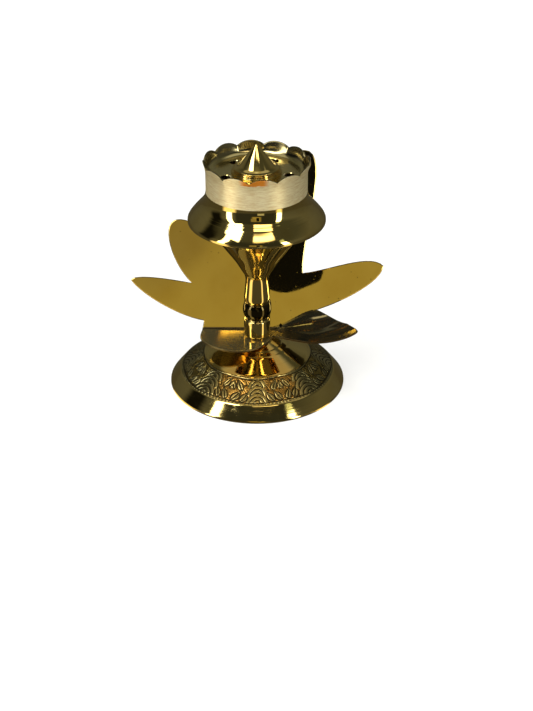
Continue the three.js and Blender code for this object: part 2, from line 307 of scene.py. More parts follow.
def turned_brass(name, roughness=0.05, lines=0.004, chased=False, painted_dark_bead=None):
    """Polished brass off the lathe, with fine rings and an uneven polish.

    lines is the depth of the rings in millimetres. chased adds the foot's band, and a painted amber
    reflection on the front of the foot.
    painted_dark_bead is the lowest and highest point of a bead that is painted nearly black, a painted dark
    reflection."""
    finish = Finish(name)
    rings = finish.rings()
    cloud = finish.noise(9, detail=4)
    smear = finish.noise(2.5, detail=2)
    fine = finish.noise(0.28, rings, detail=2)
    coarse = finish.noise(1.3, rings, detail=2)
    colour = finish.mix(finish.ramp(cloud, 0.35, 0.7), BRASS, DEEP_BRASS)
    polish = finish.ramp(smear, 0.3, 0.75, roughness * 0.7, roughness * 1.7)
    normal = finish.bump(coarse, lines * 2.5)
    normal = finish.bump(fine, lines, normal)
    if painted_dark_bead:
        low, high = (height * MM for height in painted_dark_bead)
        dark_reflection = finish.between(finish.height, low, high, 0.4 * MM)
        # the bead is painted nearly black: a painted dark reflection
        colour = finish.mix(finish.times(dark_reflection, 0.95), colour, PATINA_AND_SHADE)
    if chased:
        band, cut, matted = (finish.attribute(name) for name in ("band", "chased", "matted"))
        # the front of the smooth cone and of the band is painted amber: a painted reflection of the tab's
        # underside
        cone = finish.ramp(finish.radius, (BAND_TOP_RADIUS + 0.1) * MM, (BAND_TOP_RADIUS - 0.3) * MM)
        front = finish.window(finish.angle, *AMBER_REFLECTION_ANGLES, 8)
        colour = finish.mix(finish.times(cone, front), colour, REFLECTED_AMBER)
        raised = finish.mix(front, AGED_BRASS, REFLECTED_AMBER_RAISED)
        ground = finish.mix(front, DARK_BRASS, REFLECTED_AMBER_GROUND)
        colour = finish.mix(band, colour, finish.mix(matted, raised, ground))
        colour = finish.mix(finish.ramp(cut, 0.15, 0.8, 0, 0.96), colour, PATINA_AND_SHADE)
        cells = {"Vector": finish.place, "Scale": 1 / (PUNCH_SIZE * MM)}
        punches = finish.node("ShaderNodeTexVoronoi", cells).outputs["Distance"]
        punched = finish.times(finish.ramp(punches, 0.1, 0.5), matted)
        normal = finish.bump(punched, 0.02, normal)
        polish = finish.maths("ADD", polish, finish.times(band, 0.12))
        polish = finish.maths("ADD", polish, finish.times(cut, 0.3))
    finish.shade(Base_Color=colour, Roughness=polish, Normal=normal)
    return finish.material


def sheet_brass(name):
    """Rolled sheet, polished flat, with faint straight rolling lines, small pits, and cut edges painted dark
    as painted shade.

    Its folded foot is aged and dull on the tab; the scoop is painted nearly black, a painted dark reflection,
    and the tight crease is painted dark as painted shade."""
    finish = Finish(name)
    stretch = finish.node("ShaderNodeMapping", {"Vector": finish.place, "Scale": (1, 1, 0.04)}).outputs[0]
    rolled = finish.noise(0.35, stretch)
    cloud = finish.noise(14)
    pits = finish.ramp(finish.noise(1.1, detail=1), 0.24, 0.2)
    edge, folded, crease_shade = (finish.attribute(name) for name in ("cut_edge", "folded", "crease_shade"))
    x, _, z = finish.split(finish.place)
    scooped = finish.ramp(x, 7 * MM, 11 * MM)
    nick_x, nick_z = (
        finish.maths("ABSOLUTE", finish.maths("SUBTRACT", place, centre * MM))
        for place, centre in zip((x, z), NICK_PLACE)
    )
    nick_shadow = finish.ramp(finish.maths("ADD", nick_x, nick_z), (NICK_SIZE + 0.15) * MM, NICK_SIZE * MM)

    colour = finish.mix(finish.ramp(cloud, 0.35, 0.7), BRASS, DEEP_BRASS)
    colour = finish.mix(finish.times(pits, 0.5), colour, DARK_BRASS)
    # the scoop is painted nearly black: a painted dark reflection
    colour = finish.mix(folded, colour, finish.mix(scooped, AGED_BRASS, PAINTED_DARK_REFLECTION))
    # painted shade along the tight crease
    colour = finish.mix(finish.times(crease_shade, 0.94), colour, PATINA_AND_SHADE)
    # painted shadow of the nick beside the stem
    colour = finish.mix(nick_shadow, colour, SHADOW)
    # painted shade along the cut edges
    colour = finish.mix(finish.times(edge, 0.85), colour, CUT_EDGE_SHADE)
    polish = finish.ramp(finish.noise(5, detail=4), 0.3, 0.75, 0.012, 0.03)
    polish = finish.maths("ADD", polish, finish.times(edge, 0.3))
    polish = finish.maths("ADD", polish, finish.times(folded, finish.ramp(scooped, 0, 1, 0.10, 0.05)))
    normal = finish.bump(rolled, 0.0004)
    normal = finish.bump(pits, -0.01, normal)
    metallic = finish.ramp(folded, 0, 1, 1.0, 0.9)
    finish.shade(Base_Color=colour, Roughness=polish, Metallic=metallic, Normal=normal)
    return finish.material


def cup_brass(name):
    """Polished skirt, wall brushed on the lathe, an orange patch at the front of the rim, and an inside
    darkened by smoke and painted shade.
    """
    finish = Finish(name)
    rings = finish.rings()
    cloud = finish.noise(7, detail=4)
    broken = finish.noise(1.2, rings)
    unrolled = {"X": finish.times(finish.angle, 2 * MM), "Y": finish.height}
    strokes = finish.node("ShaderNodeCombineXYZ", unrolled).outputs[0]
    brushed = finish.noise(0.4, strokes, detail=5, roughness=0.7)
    outward = finish.maths("DIVIDE", finish.dot(finish.place, finish.level(finish.facing)), finish.radius)

    uneven = finish.times(finish.noise(0.5, rings), 0.5 * MM)
    up_wall = finish.maths("ADD", finish.height, uneven)
    on_wall = finish.ramp(up_wall, SATIN_FOOT * MM, (SATIN_FOOT + 0.4) * MM)
    satin = finish.times(on_wall, finish.ramp(outward, 0.4, 0.8))
    orange_patch_from = finish.maths("ADD", (RIM_HEIGHT - 3.1) * MM, finish.times(brushed, 1.6 * MM))
    near_rim = finish.ramp(finish.maths("SUBTRACT", finish.height, orange_patch_from), 0, 0.25 * MM)
    orange_patch = finish.times(near_rim, finish.window(finish.angle, *ORANGE_PATCH_ANGLES, 4), satin)
    above_floor = finish.ramp(finish.height, (FLOOR_HEIGHT - 0.6) * MM, FLOOR_HEIGHT * MM)
    inside = finish.times(above_floor, finish.ramp(outward, 0.4, 0.1))
    on_floor = finish.ramp(finish.height, (FLOOR_HEIGHT + 1.2) * MM, (FLOOR_HEIGHT + 0.4) * MM)
    bored = STICK_CIRCLE - STICK_HOLE_RADIUS - 0.2
    # painted shade inside the stick holes
    hole_shade = finish.times(
        finish.ramp(finish.height, (FLOOR_HEIGHT - 0.05) * MM, (FLOOR_HEIGHT - 0.25) * MM),
        finish.ramp(finish.height, STEM_TOP * MM, (STEM_TOP + 0.1) * MM),
        finish.ramp(finish.radius, bored * MM, (bored + 0.1) * MM),
        finish.ramp(finish.radius, (CUP_RADIUS - 2) * MM, (CUP_RADIUS - 3) * MM),
    )

    colour = finish.mix(finish.ramp(cloud, 0.35, 0.7), BRASS, DEEP_BRASS)
    colour = finish.mix(satin, colour, finish.mix(finish.ramp(brushed, 0.35, 0.65), TAN_BRASS, PALE_BRASS))
    # an orange patch painted on the front of the rim
    colour = finish.mix(orange_patch, colour, ORANGE_BRASS)
    # the inner walls are painted darker: smoke, and painted shade inside the cup
    smoke_and_shade = finish.times(inside, finish.ramp(cloud, 0.2, 0.7, 0.97, 0.8))
    colour = finish.mix(smoke_and_shade, colour, finish.mix(on_floor, SMOKED_AND_SHADED_BRASS, DULL_BRASS))
    # the stick holes are painted dark: painted shade
    colour = finish.mix(hole_shade, colour, PATINA_AND_SHADE)
    polish = finish.ramp(finish.noise(3, detail=2), 0.3, 0.75, 0.03, 0.07)
    polish = finish.maths("ADD", polish, finish.times(inside, 0.10))
    rough = finish.maths("SUBTRACT", finish.ramp(broken, 0.3, 0.7, 0.46, 0.56), polish)
    polish = finish.maths("ADD", polish, finish.times(satin, rough))
    normal = finish.bump(finish.times(brushed, satin), 0.06)
    normal = finish.bump(broken, 0.01, normal)
    metallic = finish.ramp(satin, 0, 1, 1.0, 0.55)
    finish.shade(Base_Color=colour, Roughness=polish, Metallic=metallic, Normal=normal)
    tangent = finish.node("ShaderNodeTangent", direction_type="RADIAL", axis="Z").outputs[0]
    finish.shade(Anisotropic=finish.times(satin, 0.8), Anisotropic_Rotation=0.25, Tangent=tangent)
    return finish.material


def screw_brass(name):
    """Plain machined brass, duller and a little stained, for the fastening under the foot."""
    finish = Finish(name)
    stain = finish.noise(3, detail=5)
    colour = finish.mix(finish.ramp(stain, 0.35, 0.7), MACHINED_BRASS, DARK_BRASS)
    polish = finish.ramp(stain, 0.3, 0.7, 0.25, 0.5)
    normal = finish.bump(finish.noise(0.2, finish.rings()), 0.01)
    finish.shade(Base_Color=colour, Roughness=polish, Normal=normal)
    return finish.material


# ---------- foot ----------

RIDGE_RADIUS = FOOT_RADIUS - 3.7
RIDGE_HEIGHT = FOOT_TOP * 0.31
BAND_TOP_RADIUS = FOOT_RADIUS - 11.8
BAND_TOP_HEIGHT = FOOT_TOP * 0.655
BAND_WIDTH = math.hypot(RIDGE_RADIUS - BAND_TOP_RADIUS, BAND_TOP_HEIGHT - RIDGE_HEIGHT)
BAND_SLOPE = (BAND_TOP_HEIGHT - RIDGE_HEIGHT) / (RIDGE_RADIUS - BAND_TOP_RADIUS)
BAND_REPEATS = 8
CUT_WIDTH = 0.55
CUT_DEPTH = 0.15
MATTED_DEPTH = 0.03
NICK_ROW = 0.8  # width of the row of nicks along the ridge


def leaflet(along, across, length, half_width):
    """Distance to the outline and midrib of a pointed leaf that starts at the origin, and its inside."""
    here = np.clip(along / length, 0, 1)
    side = half_width * np.sin(math.pi * here**0.8)
    beyond = np.maximum(0, np.maximum(-along, along - length))
    outline = np.hypot(np.abs(np.abs(across) - side), beyond)
    midrib = np.hypot(across, np.maximum(beyond, along - 0.8 * length))
    return np.minimum(outline, midrib), (np.abs(across) < side) & (beyond == 0)


def chased_pattern(angle, across):
    """How deep each point of the band is cut, and how far it is left to the matted ground (0 to 1).

    across is the distance up the band from the ridge. Columns of fans made of arcs alternate with two
    rows of slanted leaves, on a ground of curved strokes, a little uneven as handwork is. A row of
    short nicks runs along the ridge."""
    repeat = 2 * math.pi / BAND_REPEATS
    middle = (RIDGE_RADIUS + BAND_TOP_RADIUS) / 2
    along = ((angle + repeat / 2) % repeat - repeat / 2) * middle
    along = along + 0.3 * np.sin(5 * angle + 1) + 0.2 * np.sin(13 * angle + 2)
    across = across + 0.25 * np.sin(7 * angle + 0.5)
    lines = np.abs((along * 0.9 + np.sin(across * 1.1 + along) * 0.9 + across * 0.5) % 1.3 - 0.65) + 0.1
    inside = np.zeros(lines.shape, bool)
    for side in (-1, 1):
        for row, lean in ((0.9, -0.5), (5.0, 0.5)):
            for place in (5.4, 7.9):
                x = side * along - place
                y = across - row
                s = y * math.cos(lean) + x * math.sin(lean)
                t = x * math.cos(lean) - y * math.sin(lean)
                near, within = leaflet(s, t, 4.3, 1.05)
                lines = np.where(inside, lines, np.where(within, near, np.minimum(lines, near)))
                inside = inside | within
    for row in (6.4, 3.6, 0.8):
        away = np.hypot(along, across - row)
        fan = (away < 3.7) & (across > row)
        arcs = np.min([np.abs(away - reach) for reach in (1.1, 2.4, 3.7)], axis=0)
        lines = np.where(fan, arcs, lines)
        inside = inside | fan
    top_border = BAND_WIDTH - 0.5
    borders = np.minimum(np.abs(across - NICK_ROW), np.abs(across - top_border))
    within_borders = (across > NICK_ROW) & (across < top_border)
    nicks = np.where(across < NICK_ROW, np.abs(along % 1.1 - 0.55) + 0.1, borders)
    lines = np.where(within_borders, np.minimum(lines, borders), np.minimum(nicks, borders))
    cut = np.clip(1 - (2 * lines / CUT_WIDTH) ** 2, 0, 1)
    return cut, np.where(inside | ~within_borders, 0.0, 1.0)


def band_across(radius, height):
    """Distance up the band, and whether a point of the outline lies on it."""
    run = np.array([BAND_TOP_RADIUS - RIDGE_RADIUS, BAND_TOP_HEIGHT - RIDGE_HEIGHT]) / BAND_WIDTH
    across = (radius - RIDGE_RADIUS) * run[0] + (height - RIDGE_HEIGHT) * run[1]
    off = np.abs((height - RIDGE_HEIGHT) * run[0] - (radius - RIDGE_RADIUS) * run[1])
    return across, (off < 0.02) & (across > 0.02) & (across < BAND_WIDTH - 0.02)


def make_foot():
    """Hollow casting: flared edge, ridge, chased band, smooth low cone with two turned steps."""
    wall = 1.6
    edge = 0.8
    boss = 5.6
    boss_face = WASHER_TOP
    sides = 1080
    steps = 64
    band = [
        (
            RIDGE_RADIUS + (BAND_TOP_RADIUS - RIDGE_RADIUS) * t,
            RIDGE_HEIGHT + (BAND_TOP_HEIGHT - RIDGE_HEIGHT) * t,
        )
        for t in np.linspace(0, 1, steps + 1)[1:-1]
    ]
    flare = curve(
        [
            (FOOT_RADIUS - 0.05, 0.6),
            (FOOT_RADIUS - 1.7, 2.75),
            (RIDGE_RADIUS + 0.25, RIDGE_HEIGHT - 0.15),
        ],
        14,
    )
    top = FOOT_TOP
    outline = rounded(
        [
            (BORE_RADIUS, top, 0.1),
            (BORE_RADIUS, boss_face, 0.15),
            (boss, boss_face, 0.4),
            (boss, top - wall - 1, 0.6),
            (BAND_TOP_RADIUS - 0.6, BAND_TOP_HEIGHT - wall, 1.5),
            (RIDGE_RADIUS - 1.2, RIDGE_HEIGHT - wall, 1.2),
            (FOOT_RADIUS - wall - 0.4, edge, 0.3),
            (FOOT_RADIUS - wall, 0, 0.12),
            (FOOT_RADIUS, 0, 0.2),
            *flare,
            (RIDGE_RADIUS, RIDGE_HEIGHT, 0.08),
            *band,
            (BAND_TOP_RADIUS, BAND_TOP_HEIGHT, 0.08),
            (BAND_TOP_RADIUS - 0.35, BAND_TOP_HEIGHT + 0.02, 0.1),
            *curve(
                [
                    (BAND_TOP_RADIUS - 0.7, BAND_TOP_HEIGHT + 0.3),
                    (BAND_TOP_RADIUS - 4, top - 4.0),
                    (BAND_TOP_RADIUS - 7.6, top - 2.55),
                ],
                10,
            ),
            (BAND_TOP_RADIUS - 8.0, top - 2.2, 0.12),
            (BAND_TOP_RADIUS - 9.6, top - 1.65, 0.12),
            (BAND_TOP_RADIUS - 10, top - 1.25, 0.12),
            (BAND_TOP_RADIUS - 12.6, top - 0.3, 0.15),
            (BAND_TOP_RADIUS - 13, top, 0.1),
        ],
        3,
    )

    def chase(radius, height, angle):
        across, on_band = band_across(radius, height)
        cut, matted = chased_pattern(angle, across)
        depth = CUT_DEPTH * cut + MATTED_DEPTH * matted
        slope = np.array([BAND_TOP_HEIGHT - RIDGE_HEIGHT, RIDGE_RADIUS - BAND_TOP_RADIUS]) / BAND_WIDTH
        return radius - on_band * depth * slope[0], height - on_band * depth * slope[1]

    foot = revolve("foot_casting", outline, sides, chase)
    mark_band(foot)
    return foot


def mark_band(foot):
    """Stores on each vertex if it is on the band, how deep it is cut and how matted, for the material."""
    count = len(foot.data.vertices)
    places = np.empty(count * 3)
    foot.data.vertices.foreach_get("co", places)
    x, y, z = places.reshape(-1, 3).T / MM
    radius = np.hypot(x, y)
    across, _ = band_across(radius, z)
    on_band = (radius < RIDGE_RADIUS) & (radius > BAND_TOP_RADIUS) & (z > RIDGE_HEIGHT - 0.5)
    on_band &= np.abs(z - RIDGE_HEIGHT - (RIDGE_RADIUS - radius) * BAND_SLOPE) < 0.6
    cut, matted = chased_pattern(np.arctan2(y, x), across)
    for name, values in (("band", np.ones(count)), ("chased", cut), ("matted", matted)):
        layer = foot.data.attributes.new(name, "FLOAT", "POINT")
        layer.data.foreach_set("value", (values * on_band).astype(np.float32))


# ---------- leaf ----------

LEAF_HALF_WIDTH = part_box("leaf_plate")[1].x / MM - 0.01
LEAF_THICKNESS = STEM_FOOT - FOOT_TOP
LEAF_LEAN = math.radians(24)
FOLD_ANGLE = math.pi / 2 - LEAF_LEAN
FOLD_BACK = 4.2  # from the stem's axis to the fold
TIGHT_FOLD = 0.78  # reach of the fold on either side of its line, beside the stem
TIGHT_FOLD_LENGTH = TIGHT_FOLD / math.tan(FOLD_ANGLE / 2) * FOLD_ANGLE
SCOOP_FOLD = 5.9  # how much wider the fold opens into the right-hand lobe
SCOOP_RISE = 5  # how far that lobe's tip curls up
SCOOP_START = 16
SCOOP_REACH = 18
EDGE_ROUNDING = 0.28
NICK_PLACE = (8.1, STEM_FOOT + 1.2)  # a nick beside the stem, painted as a dark shadow
NICK_SIZE = 0.6

LEAF_START = (-18.5, 2.9)
LEAF_CURVES = [
    ((-28, 4.5), (-40.5, 12.5), (-LEAF_HALF_WIDTH, 16.8)),  # lower left lobe, out to its tip
    ((-LEAF_HALF_WIDTH, 19.2), (-31, 17.6), (-22.6, 15.9)),
    ((-29.5, 22.5), (-33.6, 36.6), (-27.5, 37.7)),  # upper left lobe
    ((-21, 38.8), (-11, 28), (-1.5, 18.5)),
    ((4, 32), (5.5, 60.6), (16, 61.3)),  # tall middle lobe
    ((26, 61.3), (15.5, 33), (15.7, 19.3)),
    ((24, 20), (39, 26.5), (LEAF_HALF_WIDTH, 21.8)),  # upper right lobe
    ((LEAF_HALF_WIDTH, 16.5), (30, 9.5), (20.7, 6.6)),
    ((26, 4.5), (33, -2.5), (33.8, -8)),  # lower right lobe, opened into a scoop by the fold
    ((34, -12), (14, -7), (5.2, -4.8)),
    ((4.5, -9), (0, -15), (-6, -15.2)),  # the tab that the stem stands on
    ((-13, -15.2), (-19.5, -9.5), (-19.5, -4.5)),
    ((-19.5, -1), (-18.5, 1), LEAF_START),
]


def leaf_outline(steps):
    """Points of the flat leaf's outline: x to the right, v up the sheet from the fold line."""
    points = []
    start = np.array(LEAF_START)
    for curve_points in LEAF_CURVES:
        first, second, end = (np.array(p, float) for p in curve_points)
        for t in np.arange(steps) / steps:
            s = 1 - t
            points.append(s**3 * start + 3 * s * s * t * first + 3 * s * t * t * second + t**3 * end)
        start = end
    return np.array(points)


def fold_reach(x):
    """How far the fold reaches on either side of its line: it opens wide into the scoop."""
    ease = min(max((x - 5) / 15, 0), 1)
    return TIGHT_FOLD + SCOOP_FOLD * ease * ease * (3 - 2 * ease)


def on_leaf(x, v):
    """The upper face of the bent sheet at (x, v), in millimetres."""
    reach = fold_reach(x)
    radius = reach / math.tan(FOLD_ANGLE / 2)
    up = np.array([math.sin(LEAF_LEAN), math.cos(LEAF_LEAN)])
    across = np.array([-up[1], up[0]])
    point = np.array([FOLD_BACK, STEM_FOOT]) + up * max(v, reach)
    if v < reach:
        turn = min((reach - v) / radius, FOLD_ANGLE)
        point += across * radius * (1 - math.cos(turn)) - up * radius * math.sin(turn)
        point[0] -= max(0, reach - v - radius * FOLD_ANGLE)
        rise = SCOOP_RISE * max(0, (x - SCOOP_START) / SCOOP_REACH) ** 2
        point[1] += rise * min(1, (reach - v) / 8)
    return Vector((x, point[0], point[1]))


def leaf_normal(x, v):
    """Which way the upper face of the bent sheet looks at (x, v)."""
    step = 0.02
    along_x = on_leaf(x + step, v) - on_leaf(x - step, v)
    along_v = on_leaf(x, v + step) - on_leaf(x, v - step)
    return along_x.cross(along_v).normalized()


def sheet_wave(x, v):
    """How far hand-flattened sheet strays from true, in millimetres; still on the tab."""
    free = min(max((math.hypot(x, v + 4) - 8) / 10, 0), 1)
    wave = math.sin(x * 0.13 + 0.6) * math.sin(v * 0.11 + 1.1) + 0.3 * math.sin(x * 0.27 - v * 0.21)
    return 0.03 * free * wave


def rings_of(outline, insets):
    """The outline moved in by each inset, along its own normals. The outline runs clockwise."""
    ahead = np.roll(outline, -1, axis=0) - np.roll(outline, 1, axis=0)
    inward = np.stack([ahead[:, 1], -ahead[:, 0]], axis=1)
    inward /= np.linalg.norm(inward, axis=1)[:, None]
    return [outline + inward * inset for inset in insets]


def make_leaf():
    """The flat blank with softened edges is cut into a grid, then bent point by point."""
    soft = EDGE_ROUNDING
    hole_centre = 2 * TIGHT_FOLD - TIGHT_FOLD_LENGTH - FOLD_BACK
    turns = np.linspace(0, 2 * math.pi, 49)[:-1]
    hole = np.stack([BORE_RADIUS * np.cos(turns), BORE_RADIUS * np.sin(turns) + hole_centre], axis=1)
    section = [(soft, 0), (soft * 0.3, soft * 0.3), (0, soft)]
    section += [(inset, LEAF_THICKNESS - depth) for inset, depth in reversed(section)]
    work = bmesh.new()
    for outline in (leaf_outline(14), hole):
        loops = []
        for (inset, depth), ring in zip(section, rings_of(outline, [s[0] for s in section])):
            loops.append([work.verts.new((x, v, depth)) for x, v in ring])
        for low, high in zip(loops, loops[1:]):
            for j in range(len(low)):
                work.faces.new((low[j - 1], low[j], high[j], high[j - 1]))
    for depth in (0, LEAF_THICKNESS):
        rim = [e for e in work.edges if all(abs(v.co.z - depth) < 1e-6 for v in e.verts)]
        bmesh.ops.triangle_fill(work, edges=rim, use_beauty=True)
    cut_into_grid(work)
    layers = {name: work.verts.layers.float.new(name) for name in ("cut_edge", "folded", "crease_shade")}
    for vertex in work.verts:
        x, v, depth = vertex.co
        into_fold = (TIGHT_FOLD - v) / TIGHT_FOLD_LENGTH
        marks = {
            "cut_edge": min(depth, LEAF_THICKNESS - depth) > soft * 0.2,
            "folded": min(max((fold_reach(x) - v) / 0.6, 0), 1),
            # the tight crease is marked for painted shade
            "crease_shade": x < 7 and 0.1 < into_fold < 0.8,
        }
        for name, mark in marks.items():
            vertex[layers[name]] = float(mark)
        lift = sheet_wave(x, v) - depth
        vertex.co = (on_leaf(x, v) + leaf_normal(x, v) * lift) * MM
    return finish_mesh("leaf_sheet", work, sharp_angle=16)


def cut_into_grid(work):
    """Splits the flat blank along a grid, finer at the fold, and drops every other edge of its faces."""
    coarse, fine = 1.6, 0.55
    fold_end = TIGHT_FOLD - TIGHT_FOLD_LENGTH
    across = [np.arange(-27, 3) * coarse, np.arange(5, 34, fine), np.arange(22, 28) * coarse]
    along = [np.arange(-10, -5) * coarse, np.arange(-7, TIGHT_FOLD + SCOOP_FOLD + fine, fine)]
    along += [np.linspace(fold_end, TIGHT_FOLD, 7), np.arange(5, 40) * coarse]
    lines = {0: np.concatenate(across), 1: np.concatenate(along)}
    for axis, levels in lines.items():
        normal = Vector((0, 0, 0))
        normal[axis] = 1
        for level in levels:
            everything = work.verts[:] + work.edges[:] + work.faces[:]
            bmesh.ops.bisect_plane(work, geom=everything, plane_co=normal * level, plane_no=normal, dist=1e-5)
    loose = []
    for edge in work.edges:
        first, second = (vertex.co for vertex in edge.verts)
        flat = abs(first.z - second.z) < 1e-6 and min(abs(first.z), abs(first.z - LEAF_THICKNESS)) < 1e-6
        if not flat or any(abs(face.normal.z) < 0.99 for face in edge.link_faces):
            continue
        on_line = any(
            abs(first[axis] - second[axis]) < 1e-4 and np.abs(levels - first[axis]).min() < 1e-4
            for axis, levels in lines.items()
        )
        if not on_line:
            loose.append(edge)
    bmesh.ops.dissolve_edges(work, edges=loose, use_verts=False)


# ---------- stem ----------

BEAD = (STEM_FOOT + 7.2, STEM_FOOT + 13.2)  # lowest and highest point of the bead


def make_stem():
    """Cylinder, groove, bead, waist and flared dished head, with the column that carries the cup."""
    foot = STEM_FOOT
    rim = STEM_TOP - 15.05
    radius = HEAD_RADIUS - 0.2
    socket = 8  # depth of the threaded bore at each end
    bead = [(4.05, 7.6), (4.6, 8.7), (4.85, 10.3), (4.6, 11.9), (4.05, 13)]
    dish = [(radius - 0.9, rim - 0.7), (13.2, rim - 4.5), (9.6, rim - 9.1), (6.4, rim - 11.3)]
    outline = rounded(
        [
            (0, foot + socket),
            (BORE_RADIUS, foot + socket, 0.1),
            (BORE_RADIUS, foot, 0.1),
            (3.4, foot, 0.1),
            (4.5, foot + 0.9, 0.3),
            (4.45, foot + 6.7, 0.25),
            (3.85, foot + 7.05, 0.1),
            (3.85, foot + 7.35, 0.1),
            *curve([(r, foot + z) for r, z in bead], 14),
            (3.8, foot + 13.1, 0.08),
            (3.8, foot + 13.35, 0.08),
            *curve(
                [
                    (4.15, foot + 13.6),
                    (4.4, foot + 14.9),
                    (4.15, foot + 17.5),
                    (3.85, foot + 21.5),
                    (4.3, foot + 23.6),
                    (5.2, foot + 25.2),
                    (7.4, foot + 29),
                    (10.5, foot + 33.4),
                    (13.7, foot + 38),
                    (radius - 0.25, rim - 0.85),
                ],
                48,
            ),
            (radius + 0.15, rim - 0.35, 0.2),
            (radius - 0.4, rim, 0.2),
            *curve(dish, 16),
            (4.2, rim - 10.2, 0.6),
            (4.2, STEM_TOP, 0.2),
            (BORE_RADIUS, STEM_TOP, 0.15),
            (BORE_RADIUS, STEM_TOP - socket, 0.1),
            (0, STEM_TOP - socket),
        ],
        3,
    )
    return revolve("stem_turning", outline, 192, closed=False)


# ---------- cup ----------

CUP_RADIUS = LIP_RADIUS - 6.15
CUP_WALL = 0.6
SKIRT_TOP = LIP_HEIGHT + 10.9
RIM_FLARE = 0.9  # how far the rim leans out, over the height below
RIM_FLARE_HEIGHT = 4.2
SATIN_FOOT = LIP_HEIGHT + 10.5  # the brushed finish begins here
SCALLOPS = 12
SCALLOP_DEPTH = 1.6
SCALLOP_TURN = math.radians(-7.8)
STICK_HOLES = 5
STICK_HOLE_RADIUS = 1.65
STICK_CIRCLE = 10.8
STICK_TURN = math.radians(-13)


def scallop(angle):
    """How far the rim drops at an angle: rounded crests between sharper valleys, filed by hand."""
    turn = (angle + math.pi / 2 - SCALLOP_TURN) * SCALLOPS / 2
    uneven = 1 + 0.08 * np.sin(3 * angle + 1) + 0.06 * np.sin(5 * angle)
    return SCALLOP_DEPTH * uneven * (np.abs(np.sin(turn)) ** 0.65 - 1)


def tool_marks(height):
    """Three fine grooves that the turning tool left half way up the skirt."""
    middle, spacing, depth = 5.1, 0.42, 0.045
    off = abs(height - middle)
    return depth * math.cos(math.pi * off / spacing) ** 2 if off < 1.5 * spacing else 0.0


def make_cup():
    """Bell skirt, upright wall with a scalloped rim, cove and floor, then the stick holes are cut."""
    inner = CUP_RADIUS - CUP_WALL
    cove = 2  # radius of the hollow corner round the floor
    skirt = curve(
        [
            (LIP_RADIUS, LIP_HEIGHT + 0.7),
            (LIP_RADIUS - 0.5, LIP_HEIGHT + 1.6),
            (LIP_RADIUS - 1.8, LIP_HEIGHT + 3.2),
            (LIP_RADIUS - 3.5, LIP_HEIGHT + 5.1),
            (CUP_RADIUS + 1.3, SKIRT_TOP - 4.2),
            (CUP_RADIUS + 0.5, SKIRT_TOP - 2.6),
            (CUP_RADIUS + 0.1, SKIRT_TOP - 1.1),
            (CUP_RADIUS, SKIRT_TOP),
        ],
        70,
    )
    skirt = [(radius - tool_marks(height - LIP_HEIGHT), height) for radius, height in skirt]
    wall = [(CUP_RADIUS, z) for z in np.linspace(SKIRT_TOP + 1.2, RIM_HEIGHT - 0.4, 12)]
    inside = [(inner, z) for z in np.linspace(RIM_HEIGHT - 0.4, FLOOR_HEIGHT + cove, 6)]
    turns = np.linspace(0, math.pi / 2, 9)[1:]
    bend = [(inner - cove * (1 - math.cos(t)), FLOOR_HEIGHT + cove * (1 - math.sin(t))) for t in turns]
    outline = rounded(
        [
            (BORE_RADIUS, FLOOR_HEIGHT, 0.1),
            (BORE_RADIUS, STEM_TOP, 0.15),
            (CUP_RADIUS - 3.2, STEM_TOP, 0.8),
            (CUP_RADIUS - 1.8, SKIRT_TOP + 1),
            (CUP_RADIUS - 0.4, SKIRT_TOP - 3.6, 0.6),
            (LIP_RADIUS - 2.6, LIP_HEIGHT + 3, 0.8),
            (LIP_RADIUS - 1, LIP_HEIGHT, 0.2),
            (LIP_RADIUS, LIP_HEIGHT, 0.2),
            *skirt[1:],
            *wall,
            (CUP_RADIUS, RIM_HEIGHT, 0.18),
            (inner, RIM_HEIGHT, 0.18),
            *inside,
            *bend,
        ],
        3,
    )

    def file_rim(radius, height, angle):
        near_rim = np.clip((height - RIM_HEIGHT) / RIM_FLARE_HEIGHT + 1, 0, 1)
        return radius + RIM_FLARE * near_rim**1.5, height + scallop(angle) * near_rim**1.5

    cup = revolve("cup_casting", outline, 288, file_rim)
    drill(cup)
    return cup


def drill(cup):
    """Cuts the ring of stick holes, each with a small countersink."""
    low, high = STEM_TOP, FLOOR_HEIGHT
    bore = STICK_HOLE_RADIUS
    below = [(0, low - 1), (bore + 1.2, low - 1), (bore, low + 0.2)]
    above = [(bore, high - 0.18), (bore + 0.98, high + 0.8), (0, high + 0.8)]
    for i in range(STICK_HOLES):
        angle = STICK_TURN + i * 2 * math.pi / STICK_HOLES
        cutter = revolve("drill", below + above, 40, closed=False)
        place = Vector((math.cos(angle), math.sin(angle), 0)) * STICK_CIRCLE * MM
        cutter.data.transform(Matrix.Translation(place))
        modifier = cup.modifiers.new("stick_hole", "BOOLEAN")
        modifier.operation = "DIFFERENCE"
        modifier.object = cutter
        bpy.context.view_layer.update()
        evaluated = cup.evaluated_get(bpy.context.evaluated_depsgraph_get())
        mesh = bpy.data.meshes.new_from_object(evaluated)
        cup.modifiers.clear()
        cup.data = mesh
        bpy.data.objects.remove(cutter)
    cup.data.set_sharp_from_angle(angle=math.radians(40))


# ---------- finial ----------


def make_collar():
    """Low ring with a rounded edge and a fine groove, under the cone."""
    foot = FLOOR_HEIGHT
    radius = COLLAR_RADIUS
    outline = rounded(
        [
            (BORE_RADIUS, COLLAR_TOP, 0.1),
            (BORE_RADIUS, foot, 0.1),
            (radius - 0.15, foot, 0.15),
            (radius, foot + 0.35, 0.15),
            (radius - 0.15, foot + 0.7, 0.12),
            (radius - 0.6, foot + 0.82, 0.06),
            (radius - 0.6, foot + 1.0, 0.06),
            (radius - 0.35, COLLAR_TOP - 0.2, 0.06),
            (radius - 0.45, COLLAR_TOP, 0.06),
        ],
        4,
    )
    return revolve("finial_ring", outline, 160)


